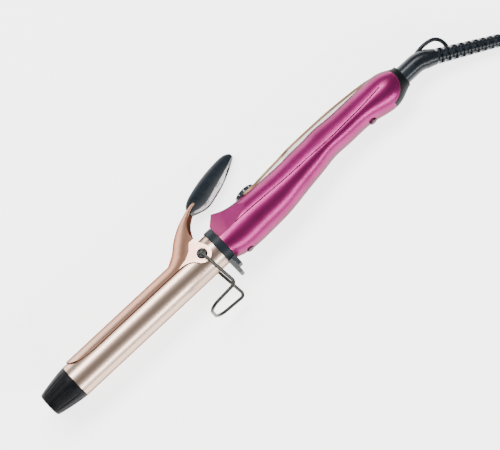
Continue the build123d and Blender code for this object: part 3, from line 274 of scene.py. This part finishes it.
def round_edges(piece, width):
    """Round the piece's edges that turn by more than EDGE_ANGLE."""
    rounding = piece.modifiers.new("rounded_edges", "BEVEL")
    rounding.width = width * MM
    rounding.segments = EDGE_STEPS
    rounding.limit_method = "ANGLE"
    rounding.angle_limit = EDGE_ANGLE


for node in (*SHELLS, "end_cap", "collar"):
    round_edges(frame["nodes"][node], MOULDED_EDGE)

# ------------------------------------------------------------------ dial ribs, painted pale as highlights
# The marks are small ribs round the dial's rim, every other one shorter than its neighbours. Their pale
# colour is a painted highlight on the black dial's ribbed rim.
DIAL_X = 170.0
MARK_COUNT = 9
MARK_SPAN = radians(270)
MARK_MIDDLE = radians(-90)
MARK_RADII = (7.55, 7.98)
MARK_HALF_WIDTH = 0.24
MARK_TOP = 15.8
MARK_FEET = (13.9, 14.6)
BOX_FACES = [(0, 1, 3, 2), (4, 6, 7, 5), (0, 4, 5, 1), (2, 3, 7, 6), (0, 2, 6, 4), (1, 5, 7, 3)]
rib_painted_highlight = surface("rib_painted_highlight", (0.75, 0.76, 0.76), (0.66, 0.67, 0.68), (0.4, 0.5), bump=0.1)
for mark in range(MARK_COUNT):
    angle = MARK_MIDDLE + (mark / (MARK_COUNT - 1) - 0.5) * MARK_SPAN
    outwards = Vector((cos(angle), sin(angle), 0))
    sideways = Vector((-sin(angle), cos(angle), 0))
    corners = [
        on_iron(*(Vector((DIAL_X, 0, height)) + outwards * radius + sideways * across * MARK_HALF_WIDTH))
        for radius in MARK_RADII
        for across in (-1, 1)
        for height in (MARK_FEET[mark % 2], MARK_TOP)
    ]
    mark_mesh = bpy.data.meshes.new(f"dial_rib_painted_highlight_{mark}")
    mark_mesh.from_pydata(corners, [], BOX_FACES)
    mark_mesh.materials.append(rib_painted_highlight)
    mark_piece = bpy.data.objects.new(f"dial_rib_painted_highlight_{mark}", mark_mesh)
    bpy.context.scene.collection.objects.link(mark_piece)
    round_edges(mark_piece, MARK_EDGE)
    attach(mark_piece, "dial")

# ------------------------------------------------------------------ dark bead on the groove between the handle's two shells, its colour painted shade
# x along the handle and the height of its parting line there, both in the iron's frame
PARTING_HEIGHTS = [
    (150.5, -0.4), (162, -0.7), (176, -1.1), (192, -1.5), (209, -1.5),
    (225, -1.5), (241, -1.4), (257, -1.0), (273, -0.4), (284.5, 0.3),
]
GROOVE_RADIUS = 0.28
GROOVE_SMOOTHNESS = 2
GROOVE_LIFT = 0.35  # so that its middle is on the upper shell's skin, not in the gap under it
GROOVE_STEP = 2.0
OUTSIDE = 40  # a distance from the handle's axis that is outside its shells
# A thin bead along the parting line, coloured a dark copy of the magenta: painted shade of the seam between
# the shells.
seam_painted_shade = surface(
    "seam_painted_shade", (0.030, 0.002, 0.010), (0.022, 0.0015, 0.008), (0.6, 0.7), bump=0.1,
    specular=0.1
)


def parting_height(x):
    """Height of the parting line at x, between the places given."""
    for (first_x, first_z), (next_x, next_z) in zip(PARTING_HEIGHTS, PARTING_HEIGHTS[1:]):
        if x <= next_x:
            break
    return first_z + (next_z - first_z) * (x - first_x) / (next_x - first_x)


def skin_point(x, z, side):
    """Where a line across the handle at (x, z) meets its outer skin on one side."""
    start = on_iron(x, side * OUTSIDE, z)
    direction = -side * iron_y
    hits = []
    for node in SHELLS:
        found, place, _, _ = frame["nodes"][node].ray_cast(start, direction)
        if found:
            hits.append(place)
    return min(hits, key=lambda place: (place - start).length)


groove_start = PARTING_HEIGHTS[0][0]
groove_length = PARTING_HEIGHTS[-1][0] - groove_start
groove_steps = int(groove_length / GROOVE_STEP)
stations = [groove_start + groove_length * step / groove_steps for step in range(groove_steps + 1)]
for side, name in ((-1, "shell_seam_shade_near"), (1, "shell_seam_shade_far")):
    groove_curve = bpy.data.curves.new(name, "CURVE")
    groove_curve.dimensions = "3D"
    groove_curve.bevel_depth = GROOVE_RADIUS * MM
    groove_curve.bevel_resolution = GROOVE_SMOOTHNESS
    groove_curve.use_fill_caps = True
    groove_line = groove_curve.splines.new("POLY")
    groove_line.points.add(len(stations) - 1)
    for point, x in zip(groove_line.points, stations):
        point.co = (*skin_point(x, parting_height(x) + GROOVE_LIFT, side), 1)
    groove_curve.materials.append(seam_painted_shade)
    groove = bpy.data.objects.new(name, groove_curve)
    bpy.context.scene.collection.objects.link(groove)
    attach(groove, "handle")

# ------------------------------------------------------------------ lead
# One spline from the boot to the plug, its places and headings in the row's frame.
CORD_DIAMETER = 5.8
CORD_SMOOTHNESS = 6
LEAD_ROUTE = [
    (198.63, -34.63, 6.16),
    (210.04, -40.70, 4.80),
    (221.58, -46.83, 4.10),
]
COIL_CENTRE = (264.15, -22.17)
COIL_OUTER_RING = 41.76
COIL_FIRST_Z = 4.10
LEAD_HEADING = radians(-28.0)
TAIL_HEADING = radians(40.0)
POINTS_A_TURN = 18
FULL_TURNS = 7
COIL_TURNS = FULL_TURNS + (TAIL_HEADING - LEAD_HEADING) / (2 * pi)
# after how many turns the cord shifts one ring inwards, up to the second layer, or one ring outwards
INWARDS_AT = (0.86, 1.86, 2.86)
UPWARDS_AT = (3.60,)
OUTWARDS_AT = (4.33, 5.33, 6.33)
SHIFT_WIDTH = 0.26  # of a turn
TAIL_ROUTE = [
    (304.10, -44.80, 9.70),
    (314.97, -32.04, 6.85),
    (314.97, -4.04, 6.85),
]
# a quadratic spline runs inside the ring of its own points by this much, so they are set wider
spline_allowance = 1 / (0.75 + 0.25 * cos(2 * pi / POINTS_A_TURN))


def shifts_made(turns, places):
    """How many of the shifts at those places are made after that many turns, each one a smooth step."""
    through = [min(max((turns - place) / SHIFT_WIDTH + 0.5, 0), 1) for place in places]
    return sum(part * part * (3 - 2 * part) for part in through)


def coil_point(step):
    """A point of the coil: rings inwards along the bottom, up at the inner ring, and out again on top."""
    turns = step / POINTS_A_TURN
    ring = shifts_made(turns, INWARDS_AT) - shifts_made(turns, OUTWARDS_AT)
    radius = (COIL_OUTER_RING - ring * CORD_DIAMETER) * spline_allowance
    angle = LEAD_HEADING - pi / 2 + turns * 2 * pi
    return (
        COIL_CENTRE[0] + radius * cos(angle),
        COIL_CENTRE[1] + radius * sin(angle),
        COIL_FIRST_Z + shifts_made(turns, UPWARDS_AT) * CORD_DIAMETER,
    )


coil_route = [coil_point(step) for step in range(int(COIL_TURNS * POINTS_A_TURN) + 1)]
route = LEAD_ROUTE + coil_route + TAIL_ROUTE
lead_curve = bpy.data.curves.new("lead", "CURVE")
lead_curve.dimensions = "3D"
lead_curve.bevel_depth = CORD_DIAMETER / 2 * MM
lead_curve.bevel_resolution = CORD_SMOOTHNESS
lead_curve.resolution_u = CORD_SMOOTHNESS
lead_curve.use_fill_caps = True
spline = lead_curve.splines.new("NURBS")
spline.points.add(len(route) - 1)
for point, place in zip(spline.points, route):
    point.co = (*(Vector(place) * MM), 1)
spline.order_u = 3
spline.use_endpoint_u = True
lead = bpy.data.objects.new("lead", lead_curve)
bpy.context.scene.collection.objects.link(lead)
cord_black = surface(
    "cord_black", (0.014, 0.016, 0.018), (0.020, 0.023, 0.026), (0.32, 0.42), bump=0.2,
    bump_scale=700
)
lead_curve.materials.append(cord_black)
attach(lead, "lead")
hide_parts("cord", "cord_coil", "cord_tail")

# ------------------------------------------------------------------ table and light
# The table gives off light of its own, so it stays pale and even round the iron.
FLOOR_REACH = 6.0  # metres
FLOOR_GLOW = 3.0
WORLD_GLOW = 0.22
LIGHT_AIM_X = 150
LIGHT_LENGTH = 1200  # along the iron

floor_corners = [
    (-FLOOR_REACH, -FLOOR_REACH, 0), (FLOOR_REACH, -FLOOR_REACH, 0),
    (FLOOR_REACH, FLOOR_REACH, 0), (-FLOOR_REACH, FLOOR_REACH, 0),
]
floor_mesh = bpy.data.meshes.new("floor")
floor_mesh.from_pydata(floor_corners, [], [(0, 1, 2, 3)])
floor = bpy.data.objects.new("floor", floor_mesh)
bpy.context.scene.collection.objects.link(floor)
floor_white = surface(
    "floor_white", (0.93, 0.93, 0.93), (0.91, 0.91, 0.91), (0.8, 0.9), grain=(3, 3, 3), bump=0.02,
    Emission_color=(1, 1, 1, 1), Emission_strength=FLOOR_GLOW
)
floor_mesh.materials.append(floor_white)

world = bpy.data.worlds.new("studio")
bpy.context.scene.world = world
world.use_nodes = True
background = world.node_tree.nodes["Background"]
background.inputs["Color"].default_value = (1, 1, 1, 1)
background.inputs["Strength"].default_value = WORLD_GLOW


def soft_box(name, y, z, width, power):
    """A long studio light beside the iron, at (y, z) in its frame, shining at it. The power is in watts."""
    start = on_iron(LIGHT_AIM_X, y, z)
    back = (start - on_iron(LIGHT_AIM_X, 0, 0)).normalized()
    along = (iron_x - back * iron_x.dot(back)).normalized()
    data = bpy.data.lights.new(name, "AREA")
    data.shape = "RECTANGLE"
    data.size = LIGHT_LENGTH * MM
    data.size_y = width * MM
    data.energy = power
    light = bpy.data.objects.new(name, data)
    light.location = start
    light.rotation_euler = Matrix((along, back.cross(along), back)).transposed().to_euler()
    bpy.context.scene.collection.objects.link(light)


soft_box("key", -970, 330, width=340, power=21)
soft_box("fill", -230, -970, width=180, power=13)
